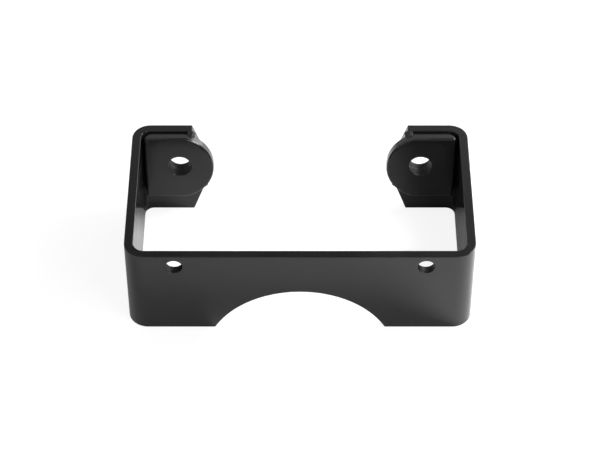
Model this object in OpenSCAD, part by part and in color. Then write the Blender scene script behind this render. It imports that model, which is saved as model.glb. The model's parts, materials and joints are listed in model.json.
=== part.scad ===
// Horn bracket: a constant-height steel strip folded into an open frame.
// The front web carries the horn on two small bolts and is arched out below.
// Two arms run back to tabs that turn inwards and lean back a little.
// A doubler plate with a round end is welded to the inner face of each tab.
// +X is across the bracket, the web faces -Y, and it stands on its lower edge.

/* [Strip] */
// Overall width across the outer faces of the arms
bracket_w = 124.2; // [118:0.2:140]
// Overall depth from the web to the back of the tabs, at the top
bracket_d = 67.9; // [55:0.1:90]
// Height of the strip
strip_h = 36.6; // [34:0.2:44]
// Thickness of the strip
strip_t = 3.2; // [2.5:0.1:4]
// Inner radius of the two front bends
front_bend_r = 4; // [2.5:0.1:7]
// Inner radius of the two rear bends
rear_bend_r = 3.4; // [2.5:0.1:4]

/* [Horn web] */
// Distance between the two horn bolt holes
horn_hole_spacing = 88.9; // [76:0.1:96]
// Diameter of the horn bolt holes
horn_hole_d = 6; // [5:0.1:7]
// Horn bolt hole centres below the top edge of the web
horn_hole_drop = 5.1; // [4.6:0.1:8]
// Radius of the arch cut from the lower edge of the web
arch_r = 34.5; // [30:0.5:40]
// Height of the arch above the lower edge
arch_rise = 18.6; // [10:0.2:22]

/* [Rear tabs] */
// Lean of the tabs away from the vertical, top to the back
tab_lean = 6; // [0:0.5:10]
// Distance between the bolt holes of the two tabs
tab_hole_spacing = 90; // [86:0.2:92]
// Diameter of the tab bolt holes
tab_hole_d = 8.6; // [6.6:0.2:11]
// Tab bolt hole centres below the top edge, along the tab
tab_hole_drop = 13.9; // [12:0.1:16]
// Radius of the nose of each tab
tab_nose_r = 11.1; // [9:0.1:12]
// Slope of the end of each tab, away from the vertical
tab_slant = 21; // [15:0.5:25]

/* [Doubler plates] */
// Thickness of the doubler plates
plate_t = 4; // [2.5:0.1:6]
// Height of the doubler plates
plate_h = 27.2; // [25:0.1:28]
// Radius of the round end of the doubler plates
plate_end_r = 14.2; // [14:0.1:15]
// Middle of the doubler plate below the bolt hole
plate_sink = 0.9; // [0:0.1:1.5]
// Centre of the round end beyond the bolt hole, towards the arm
plate_shift = 1.5; // [0:0.1:3]
// Clearance between the doubler plate and the inside of the arm
plate_arm_gap = 1.1; // [0.5:0.1:3]
// Leg of the weld beads round the end of the doubler plates
weld_leg = 1.9; // [1:0.1:2.4]

/* [Hidden] */
$fn = 96;

// How far cutting shapes run past the faces they cut
past = 1;
front_y = -bracket_d / 2;
rear_y = bracket_d / 2;
arm_in_x = bracket_w / 2 - strip_t;
tab_hole_x = tab_hole_spacing / 2;
// Back face of the tabs at the middle of their height
tab_mid_y = rear_y - strip_h / 2 * tan(tab_lean);
// Bolt hole above the middle of the tab, along the tab
tab_hole_up = strip_h / 2 / cos(tab_lean) - tab_hole_drop;
plate_up = tab_hole_up - plate_sink;
plate_end_x = tab_hole_x + plate_shift;
plate_round_r = max(plate_end_r, plate_h / 2);
// Where the round end of a plate runs into its straight edges
plate_edge_x = plate_end_x - sqrt(pow(plate_round_r, 2) - pow(plate_h / 2, 2));

// A block with its two corners on the -Y side rounded, seen from above
module soft_block(w, d, r) {
    translate([-w / 2, r]) square([w, d - r]);
    translate([-w / 2 + r, 0]) square([w - 2 * r, d]);
    for (side = [-1, 1]) translate([side * (w / 2 - r), r]) circle(r);
}

// The space between the lower and the upper edge of the strip
module strip_band() {
    translate([-bracket_w, -bracket_d, 0]) cube([2 * bracket_w, 2 * bracket_d, strip_h]);
}

// Places a drawing on the back face of the tabs, +Y up the tab, +Z to the web
module on_tabs() {
    translate([0, tab_mid_y, strip_h / 2]) rotate([90 - tab_lean, 0, 0]) children();
}

// Outline of one tab: slanted ends that run into a round nose
module tab_outline() {
    touch = tab_nose_r * [-cos(tab_slant), sin(tab_slant)] + [tab_hole_x, 0];
    end = touch + strip_h * [sin(tab_slant), cos(tab_slant)];
    translate([tab_hole_x, 0]) circle(tab_nose_r);
    polygon([[touch.x, -touch.y], [end.x, -end.y], [bracket_w, -end.y],
             [bracket_w, end.y], end, touch]);
}

// Outline of one doubler plate: straight edges and one round end
module plate_outline() {
    plate_end = arm_in_x - plate_arm_gap;
    intersection() {
        union() {
            translate([plate_end_x, plate_up]) circle(plate_round_r);
            translate([plate_end_x, plate_up - plate_round_r])
                square([plate_end - plate_end_x, 2 * plate_round_r]);
        }
        translate([0, plate_up - plate_h / 2]) square([plate_end, plate_h]);
    }
}

// Places a drawing, seen from above, square to the lean, with the back of the tabs at Y = 0
module square_to_tabs() {
    translate([0, rear_y, strip_h]) rotate([-tab_lean, 0, 0])
        translate([0, 0, -2 * strip_h]) linear_extrude(3 * strip_h) children();
}

// All that lies behind a leaning rear face, with rounded corners where it meets the arms
module behind_tabs(inset, corner_r) {
    half_w = bracket_w / 2 - inset;
    square_to_tabs() difference() {
        translate([-bracket_w, -inset - corner_r]) square([2 * bracket_w, corner_r + strip_h]);
        translate([corner_r - half_w, -inset - 2 * corner_r])
            square([2 * (half_w - corner_r), 2 * corner_r]);
        for (side = [-1, 1])
            translate([side * (half_w - corner_r), -inset - corner_r]) circle(corner_r);
    }
}

// A closed block with rounded corners, in from the outside of the strip by inset
module folded_block(inset, front_r, rear_r, floor_z, top_z) {
    difference() {
        translate([0, front_y + inset, floor_z]) linear_extrude(top_z - floor_z)
            soft_block(bracket_w - 2 * inset, bracket_d, front_r);
        behind_tabs(inset, rear_r);
    }
}

// The space between the ends of the two tabs
module tab_space() {
    on_tabs() translate([0, 0, -past]) linear_extrude(strip_t + 2 * past) difference() {
        square([2 * tab_hole_x, 3 * strip_h], center = true);
        for (side = [0, 1]) mirror([side, 0]) tab_outline();
    }
}

module horn_holes() {
    for (side = [-1, 1])
        translate([side * horn_hole_spacing / 2, front_y - past, strip_h - horn_hole_drop])
            rotate([-90, 0, 0]) cylinder(h = strip_t + 2 * past, d = horn_hole_d);
}

module arch() {
    translate([0, front_y - past, arch_rise - arch_r])
        rotate([-90, 0, 0]) cylinder(h = strip_t + 2 * past, r = arch_r);
}

// Bolt hole through a tab and its doubler plate
module tab_hole() {
    on_tabs() translate([tab_hole_x, tab_hole_up, -past])
        cylinder(h = strip_t + plate_t + 2 * past, d = tab_hole_d);
}

module bracket_strip() color([0.07, 0.07, 0.075]) {
    difference() {
        folded_block(0, front_bend_r + strip_t, rear_bend_r + strip_t, 0, strip_h);
        folded_block(strip_t, front_bend_r, rear_bend_r, -past, strip_h + past);
        tab_space();
        horn_holes();
        arch();
        for (side = [0, 1]) mirror([side, 0, 0]) tab_hole();
    }
}

// A doubler plate on the inner face of the +X tab, its far edge rounded to clear the bend
module doubler_plate() {
    intersection() {
        difference() {
            on_tabs() translate([0, 0, strip_t]) linear_extrude(plate_t) plate_outline();
            tab_hole();
        }
        square_to_tabs() translate([0, -strip_t]) mirror([0, 1])
            soft_block(2 * (arm_in_x - plate_arm_gap), rear_bend_r + plate_t, rear_bend_r);
    }
}

// Rounded fillets of weld metal where the plate's round end crosses the tab, above and below
module weld_beads() {
    intersection() {
        strip_band();
        on_tabs() translate([plate_end_x, plate_up, strip_t]) rotate_extrude()
            translate([plate_round_r, 0]) intersection() {
                circle(weld_leg);
                square(weld_leg);
            }
        on_tabs() linear_extrude(strip_t + plate_t) intersection() {
            tab_outline();
            translate([0, -strip_h]) square([plate_edge_x, 2 * strip_h]);
        }
    }
}

module left_doubler_plate() color([0.08, 0.08, 0.085]) mirror([1, 0, 0]) doubler_plate();
module right_doubler_plate() color([0.08, 0.08, 0.085]) doubler_plate();
module left_weld_beads() color([0.16, 0.16, 0.165]) mirror([1, 0, 0]) weld_beads();
module right_weld_beads() color([0.16, 0.16, 0.165]) weld_beads();

bracket_strip();
left_doubler_plate();
right_doubler_plate();
left_weld_beads();
right_weld_beads();
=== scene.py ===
import json
import math

import bpy
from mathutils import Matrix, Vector


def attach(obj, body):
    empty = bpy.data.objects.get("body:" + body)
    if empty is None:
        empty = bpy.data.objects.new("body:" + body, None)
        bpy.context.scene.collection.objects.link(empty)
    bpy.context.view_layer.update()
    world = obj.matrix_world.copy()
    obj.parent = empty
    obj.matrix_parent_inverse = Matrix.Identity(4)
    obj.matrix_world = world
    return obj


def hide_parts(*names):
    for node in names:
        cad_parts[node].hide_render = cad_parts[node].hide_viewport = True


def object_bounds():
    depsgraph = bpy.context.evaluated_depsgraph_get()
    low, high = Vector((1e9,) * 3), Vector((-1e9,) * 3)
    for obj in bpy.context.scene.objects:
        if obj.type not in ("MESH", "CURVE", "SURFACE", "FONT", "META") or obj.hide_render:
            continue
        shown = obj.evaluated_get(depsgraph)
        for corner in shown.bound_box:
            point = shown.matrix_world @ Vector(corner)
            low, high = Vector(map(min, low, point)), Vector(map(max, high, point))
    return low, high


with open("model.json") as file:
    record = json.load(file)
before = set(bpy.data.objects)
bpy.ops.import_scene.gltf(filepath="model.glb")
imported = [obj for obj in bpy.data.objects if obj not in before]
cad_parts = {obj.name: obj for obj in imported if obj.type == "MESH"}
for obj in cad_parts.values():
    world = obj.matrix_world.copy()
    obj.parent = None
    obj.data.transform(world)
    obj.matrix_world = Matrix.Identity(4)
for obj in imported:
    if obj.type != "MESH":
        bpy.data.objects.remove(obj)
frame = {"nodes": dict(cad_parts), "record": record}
cad_low, cad_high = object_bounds()
bpy.ops.object.select_all(action="DESELECT")

# Camera
# A product photograph, taken from in front and well above with a long lens. It looks at a
# point level with the bracket's top edge, a little behind the web.
PHOTO_ELEVATION = math.radians(45.6)
PHOTO_DISTANCE = 0.7548
PHOTO_LENS_MM = 127.5
AIM_BEHIND_WEB = 0.0158
NEAREST_SEEN = 0.01
FARTHEST_SEEN = 20

aim = Vector((0, cad_low.y + AIM_BEHIND_WEB, cad_high.z))
away = Vector((0, -math.cos(PHOTO_ELEVATION), math.sin(PHOTO_ELEVATION)))
bpy.ops.object.camera_add(
    location=aim + away * PHOTO_DISTANCE,
    rotation=(math.pi / 2 - PHOTO_ELEVATION, 0, 0),
)
camera = bpy.context.object
camera.name = "photo_camera"
camera.data.lens = PHOTO_LENS_MM
camera.data.clip_start = NEAREST_SEEN
camera.data.clip_end = FARTHEST_SEEN
bpy.context.scene.camera = camera

# Folded strip
# One bar of 3.2 mm mild steel: blanked, punched, folded at four bends, tumbled so that its
# edges are soft, and stoved in gloss black enamel. The enamel rounds the edges a little more.
EDGE_SOFTNESS = 0.0002
HOLE_EDGE_SOFTNESS = 0.0002
EDGE_STEPS = 4
# An edge is sharp where its two faces turn by more than this.
SHARP_ANGLE = math.radians(30)
# Triangles that turn by less than this lie in one face, and points this near are one point.
FLAT_ANGLE = math.radians(0.5)
SAME_POINT = 2e-6
# A point is in a hole when it is no further from its axis than this many radii, and a face
# there is the hole's wall when it is this near to parallel with the axis, as a cosine.
HOLE_REACH = 1.02
WALL_TILT = 0.1


def pick_only(obj):
    """Selects one object, and makes it the one that the next operator works on."""
    bpy.ops.object.select_all(action="DESELECT")
    obj.select_set(True)
    bpy.context.view_layer.objects.active = obj


def copy_of_node(node, name):
    """A copy of a solid's mesh under a new name, with its loose triangles joined into faces."""
    pick_only(frame["nodes"][node])
    bpy.ops.object.duplicate()
    piece = bpy.context.object
    piece.name = piece.data.name = name
    bpy.ops.mesh.customdata_custom_splitnormals_clear()
    bpy.ops.object.mode_set(mode="EDIT")
    bpy.ops.mesh.select_all(action="SELECT")
    bpy.ops.mesh.remove_doubles(threshold=SAME_POINT)
    bpy.ops.mesh.dissolve_limited(angle_limit=FLAT_ANGLE)
    bpy.ops.object.mode_set(mode="OBJECT")
    return piece


def in_hole(point, holes):
    """The axis of the hole that a point is in, or None. holes lists (centre, axis, radius)."""
    for centre, axis, radius in holes:
        across = point - centre
        across -= axis * across.dot(axis)
        if across.length < radius * HOLE_REACH:
            return axis
    return None


def soften_edges(piece, softness, hole_softness, holes):
    """Rounds each sharp edge of a steel piece, less on the rims of its holes."""
    mesh = piece.data
    weights = mesh.attributes.new("bevel_weight_edge", "FLOAT", "EDGE")
    sides = {}
    for face in mesh.polygons:
        for key in face.edge_keys:
            sides.setdefault(key, []).append(face.normal)
    for edge in mesh.edges:
        normals = sides[edge.key]
        if normals[0].angle(normals[1]) < SHARP_ANGLE:
            continue
        middle = (mesh.vertices[edge.vertices[0]].co + mesh.vertices[edge.vertices[1]].co) / 2
        on_rim = in_hole(middle, holes) is not None
        weights.data[edge.index].value = hole_softness / softness if on_rim else 1.0
    pick_only(piece)
    bevel = piece.modifiers.new("soft_edges", "BEVEL")
    bevel.limit_method = "WEIGHT"
    bevel.width = softness
    bevel.segments = EDGE_STEPS
    bevel.use_clamp_overlap = False
    bevel.miter_outer = "MITER_ARC"
    bevel.harden_normals = True
    bpy.ops.object.shade_smooth()
    bpy.ops.object.modifier_apply(modifier=bevel.name)


def dull_bores(piece, holes, material):
    """Gives the walls of the holes a material of their own, which comes second on the piece."""
    piece.data.materials.append(material)
    for face in piece.data.polygons:
        axis = in_hole(face.center, holes)
        if axis is not None and abs(face.normal.dot(axis)) < WALL_TILT:
            face.material_index = 1


def linear(hex_colour):
    """An sRGB hex colour as the linear RGBA that a shader takes."""
    parts = [int(hex_colour[i:i + 2], 16) / 255 for i in (1, 3, 5)]
    return [p / 12.92 if p <= 0.04045 else ((p + 0.055) / 1.055) ** 2.4 for p in parts] + [1.0]


def add_node(tree, kind, settings=None, links=None):
    """Adds one shader node. settings are attributes or sockets, links are (socket, output)."""
    node = tree.nodes.new(kind)
    for key, value in (settings or {}).items():
        if isinstance(key, int) or key in node.inputs:
            node.inputs[key].default_value = value
        else:
            setattr(node, key, value)
    for key, output in (links or {}).items():
        tree.links.new(output, node.inputs[key])
    return node


def new_material(name):
    """A material whose node tree is still empty, and that tree."""
    material = bpy.data.materials.new(name)
    material.use_nodes = True
    material.node_tree.nodes.clear()
    return material, material.node_tree


# Gloss enamel, sprayed and stoved: nearly black, with a clear gloss. A faint orange peel and
# fine dust under the coat soften what it mirrors, and where the coat is thinner, in clouds a
# few centimetres across, it is a little greyer and duller.
ENAMEL_BLACK = "#131314"
ENAMEL_THIN = "#1a1a1b"
ENAMEL_IOR = 1.5
# Width and height of each kind of ripple
PEEL_MM = (2.0, 0.004)
DUST_MM = (0.35, 0.0012)
RIPPLE_DETAIL = 1.5
CLOUD_MM = 18.0
CLOUD_DETAIL = 3.0
# Nearly all of a cloud pattern lies between these levels.
CLOUD_SPAN = (0.3, 0.7)
GLOSSY = (0.10, 0.17)
FULL_SHINE = 0.5


def gloss_enamel(name, peel=PEEL_MM, rough=GLOSSY, shine=FULL_SHINE):
    """Black enamel: peel is its ripple's width and height in mm, rough its least and most."""
    material, tree = new_material(name)
    place = add_node(tree, "ShaderNodeTexCoord").outputs["Object"]
    normal = None
    for width, height in (peel, DUST_MM):
        noise = add_node(tree, "ShaderNodeTexNoise",
                         {"Scale": 1000 / width, "Detail": RIPPLE_DETAIL}, {"Vector": place})
        bump = add_node(tree, "ShaderNodeBump", {"Distance": height / 1000},
                        {"Height": noise.outputs["Fac"]})
        if normal:
            tree.links.new(normal, bump.inputs["Normal"])
        normal = bump.outputs["Normal"]
    cloud = add_node(tree, "ShaderNodeTexNoise",
                     {"Scale": 1000 / CLOUD_MM, "Detail": CLOUD_DETAIL},
                     {"Vector": place}).outputs["Fac"]
    shade = add_node(tree, "ShaderNodeMix", {"data_type": "RGBA"}, {"Factor": cloud})
    shade.inputs["A"].default_value = linear(ENAMEL_BLACK)
    shade.inputs["B"].default_value = linear(ENAMEL_THIN)
    gloss = add_node(tree, "ShaderNodeMapRange",
                     {"From Min": CLOUD_SPAN[0], "From Max": CLOUD_SPAN[1],
                      "To Min": rough[0], "To Max": rough[1]},
                     {"Value": cloud})
    paint = add_node(tree, "ShaderNodeBsdfPrincipled",
                     {"IOR": ENAMEL_IOR, "Specular IOR Level": shine},
                     {"Base Color": shade.outputs["Result"], "Roughness": gloss.outputs["Result"],
                      "Normal": normal})
    add_node(tree, "ShaderNodeOutputMaterial", None, {"Surface": paint.outputs["BSDF"]})
    return material


mounts = {mount["name"]: mount for mount in frame["record"]["mounts"]}
horn = mounts["horn_holes"]
horn_axis = Vector(horn["axis"])
horn_half = Vector((horn["dims"]["spacing_x_mm"] / 2000, 0, 0))
horn_radius = horn["dims"]["hole_r_mm"] / 1000
hole_places = [(Vector(horn["pos_m"]) + side * horn_half, horn_axis, horn_radius)
               for side in (-1, 1)]
for mount in (mounts["left_tab_hole"], mounts["right_tab_hole"]):
    hole_places.append((Vector(mount["pos_m"]), Vector(mount["axis"]),
                        mount["dims"]["r_mm"] / 1000))

strip_enamel = gloss_enamel("gloss_black_enamel")
# Inside the holes the spray lands thin and dry, so the same enamel is almost without gloss.
DRY_SPRAY = (0.45, 0.55)
DRY_SHINE = 0.1
bore_enamel = gloss_enamel("thin_enamel_in_holes", rough=DRY_SPRAY, shine=DRY_SHINE)
strip = copy_of_node("bracket_strip", "folded_strip")
soften_edges(strip, EDGE_SOFTNESS, HOLE_EDGE_SOFTNESS, hole_places)
strip.data.materials.clear()
strip.data.materials.append(strip_enamel)
dull_bores(strip, hole_places, bore_enamel)
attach(strip, "root")
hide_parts("bracket_strip")

# Doubler plates
# Two pieces of 4 mm plate with one round end, welded to the inner faces of the tabs so that
# the frame bolts have more to bear on. Their edges are rounder than the strip's, and they
# are enamelled together with it.
PLATE_EDGE_SOFTNESS = 0.0008
for side in ("left", "right"):
    plate = copy_of_node(side + "_doubler_plate", side + "_doubler")
    soften_edges(plate, PLATE_EDGE_SOFTNESS, HOLE_EDGE_SOFTNESS, hole_places)
    plate.data.materials.clear()
    plate.data.materials.append(strip_enamel)
    dull_bores(plate, hole_places, bore_enamel)
    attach(plate, "root")
    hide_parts(side + "_doubler_plate")

# Weld beads
# Short flat fillets of weld metal where the round end of each doubler crosses its tab, laid in
# small steps. The enamel has flowed over their ripples.
PLATE_THICK = 0.004
PLATE_ROUND_R = 0.0142
# Centre of the round end from the bolt hole, towards the arm and up the tab
PLATE_CENTRE = (0.0015, -0.0009)
# The two beads, as angles above the plate's nose
UPPER_BEAD = (math.radians(61), math.radians(70))
LOWER_BEAD = (math.radians(-73), math.radians(-43))
BEAD_LEG = 0.0019
BEAD_ROUNDING = 0.00035
BEAD_BELOW_TOP = 0.0001
BEAD_STEP = 0.0008
# From step to step the leg shrinks by up to twice this share, in waves of about 2.6 steps.
BEAD_RIPPLE = 0.08
RIPPLE_TURN = 2.4
BEAD_VOXEL = 0.00012
BEAD_SMOOTHING = 4


def bead_step(seam, frontward, spokes, leg):
    """A short piece of fillet between two spokes, which point out from the plate's centre.

    It is made smaller where it would otherwise stand above the top of the strip.
    """
    corners = []
    for spoke in spokes:
        root = seam + spoke * (PLATE_ROUND_R - BEAD_ROUNDING)
        size = leg
        if spoke.z > 0:
            room = cad_high.z - BEAD_BELOW_TOP - BEAD_ROUNDING - root.z
            size = min(leg, room / spoke.z)
        for reach in (frontward * 0, frontward * size, spoke * size):
            bpy.ops.mesh.primitive_ico_sphere_add(subdivisions=2, radius=BEAD_ROUNDING,
                                                  location=root + reach)
            corners.append(bpy.context.object)
    for corner in corners:
        corner.select_set(True)
    bpy.ops.object.join()
    bpy.ops.object.transform_apply(location=True, rotation=True, scale=True)
    bpy.ops.object.mode_set(mode="EDIT")
    bpy.ops.mesh.select_all(action="SELECT")
    bpy.ops.mesh.convex_hull()
    bpy.ops.object.mode_set(mode="OBJECT")
    return bpy.context.object


def weld_bead(side, start, end):
    """The steps of one bead round a doubler's end, from start to end above its nose."""
    mount = mounts[side + "_tab_hole"]
    back = Vector(mount["axis"])
    outward = Vector((math.copysign(1, mount["pos_m"][0]), 0, 0))
    up = Vector((0, -back.z, back.y))
    seam = Vector(mount["pos_m"]) + back * (PLATE_THICK - mount["dims"]["length_mm"] / 2000)
    seam += outward * PLATE_CENTRE[0] + up * PLATE_CENTRE[1]
    count = round((end - start) * PLATE_ROUND_R / BEAD_STEP) + 1
    angles = [start + (end - start) * i / (count - 1) for i in range(count)]
    spokes = [up * math.sin(angle) - outward * math.cos(angle) for angle in angles]
    return [bead_step(seam, -back, spokes[i:i + 2],
                      BEAD_LEG * (1 - BEAD_RIPPLE * (1 + math.sin(RIPPLE_TURN * i + start))))
            for i in range(count - 1)]


# The same enamel over weld metal: it follows the metal's fine ripples, so that its gloss is
# broken up and looks duller than on the flat plates.
WELD_PEEL_MM = (0.9, 0.2)
BROKEN_GLOSS = (0.28, 0.42)
weld_enamel = gloss_enamel("enamel_over_weld", peel=WELD_PEEL_MM, rough=BROKEN_GLOSS)
for side in ("left", "right"):
    steps = weld_bead(side, *UPPER_BEAD) + weld_bead(side, *LOWER_BEAD)
    pick_only(steps[0])
    for step in steps:
        step.select_set(True)
    bpy.ops.object.join()
    bead = bpy.context.object
    bead.name = bead.data.name = side + "_weld_ripples"
    remesh = bead.modifiers.new("one_skin", "REMESH")
    remesh.mode = "VOXEL"
    remesh.voxel_size = BEAD_VOXEL
    smooth = bead.modifiers.new("flowed", "SMOOTH")
    smooth.iterations = BEAD_SMOOTHING
    bpy.ops.object.modifier_apply(modifier=remesh.name)
    bpy.ops.object.modifier_apply(modifier=smooth.name)
    bpy.ops.object.shade_smooth()
    bead.data.materials.append(weld_enamel)
    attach(bead, "root")
    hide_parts(side + "_weld_beads")

# Floor
# A sheet of plain matt white paper. To the camera it is a grey that takes the shadow plus an
# even glow, which together come out white. The enamel mirrors it as the real white paper.
FLOOR_HALF = 3.0
FLOOR_BELOW = 0.00005
PAPER_WHITE = "#ececec"
SHADOW_GREY = "#898989"
CAMERA_GLOW = 0.86
bpy.ops.mesh.primitive_plane_add(size=2 * FLOOR_HALF, location=(0, 0, cad_low.z - FLOOR_BELOW))
floor = bpy.context.object
floor.name = "paper_floor"
floor_material, tree = new_material("white_paper")
ray = add_node(tree, "ShaderNodeLightPath")
paper = add_node(tree, "ShaderNodeBsdfDiffuse", {"Color": linear(PAPER_WHITE)})
shaded = add_node(tree, "ShaderNodeBsdfDiffuse", {"Color": linear(SHADOW_GREY)})
glow = add_node(tree, "ShaderNodeEmission", {"Strength": CAMERA_GLOW})
seen = add_node(tree, "ShaderNodeAddShader", None,
                {0: shaded.outputs["BSDF"], 1: glow.outputs["Emission"]})
choose = add_node(tree, "ShaderNodeMixShader", None,
                  {"Fac": ray.outputs["Is Camera Ray"], 1: paper.outputs["BSDF"],
                   2: seen.outputs["Shader"]})
add_node(tree, "ShaderNodeOutputMaterial", None, {"Surface": choose.outputs["Shader"]})
floor.data.materials.append(floor_material)

# Studio light
# A lit wall of a white tent stands behind the bracket on the right, with one lamp hung close
# above it, another at the front right and a weak fill on the left. Each is a square that
# faces the bracket. The room is pale low down and dark overhead.
LAMPS = [
    {"name": "right_wall", "at": (0.22, 0.25, 0.12), "size": 0.24, "watts": 0.6},
    {"name": "high_lamp", "at": (0.17, 0.07, 0.20), "size": 0.10, "watts": 0.85},
    {"name": "front_lamp", "at": (0.22, -0.26, 0.28), "size": 0.20, "watts": 0.75},
    {"name": "weak_fill", "at": (-0.20, 0.00, 0.60), "size": 0.40, "watts": 0.5},
]
for lamp in LAMPS:
    place = Vector(lamp["at"])
    bpy.ops.object.light_add(type="AREA", location=place,
                             rotation=place.to_track_quat("Z", "Y").to_euler())
    light = bpy.context.object
    light.name = lamp["name"]
    light.data.size = lamp["size"]
    light.data.energy = lamp["watts"]

# How bright the room is at each height, given as the sine of the angle above level.
ROOM_LEVELS = [(0.0, 0.6), (0.3, 0.6), (0.64, 0.55), (0.72, 0.08)]
world = bpy.data.worlds.new("pale_room")
bpy.context.scene.world = world
world.use_nodes = True
tree = world.node_tree
tree.nodes.clear()
direction = add_node(tree, "ShaderNodeTexCoord").outputs["Generated"]
height = add_node(tree, "ShaderNodeSeparateXYZ", None, {"Vector": direction})
level = add_node(tree, "ShaderNodeValToRGB", None, {"Fac": height.outputs["Z"]})
stops = level.color_ramp.elements
while len(stops) < len(ROOM_LEVELS):
    stops.new(1.0)
for stop, (position, grey) in zip(stops, ROOM_LEVELS):
    stop.position = position
    stop.color = (grey, grey, grey, 1)
ray = add_node(tree, "ShaderNodeLightPath")
room = add_node(tree, "ShaderNodeBackground", {"Strength": 1.0},
                {"Color": level.outputs["Color"]})
# The camera sees plain white beyond the paper.
white = add_node(tree, "ShaderNodeBackground", {"Color": (1, 1, 1, 1), "Strength": 1.0})
choose = add_node(tree, "ShaderNodeMixShader", None,
                  {"Fac": ray.outputs["Is Camera Ray"], 1: room.outputs["Background"],
                   2: white.outputs["Background"]})
add_node(tree, "ShaderNodeOutputWorld", None, {"Surface": choose.outputs["Shader"]})
bpy.context.scene.view_settings.view_transform = "Standard"
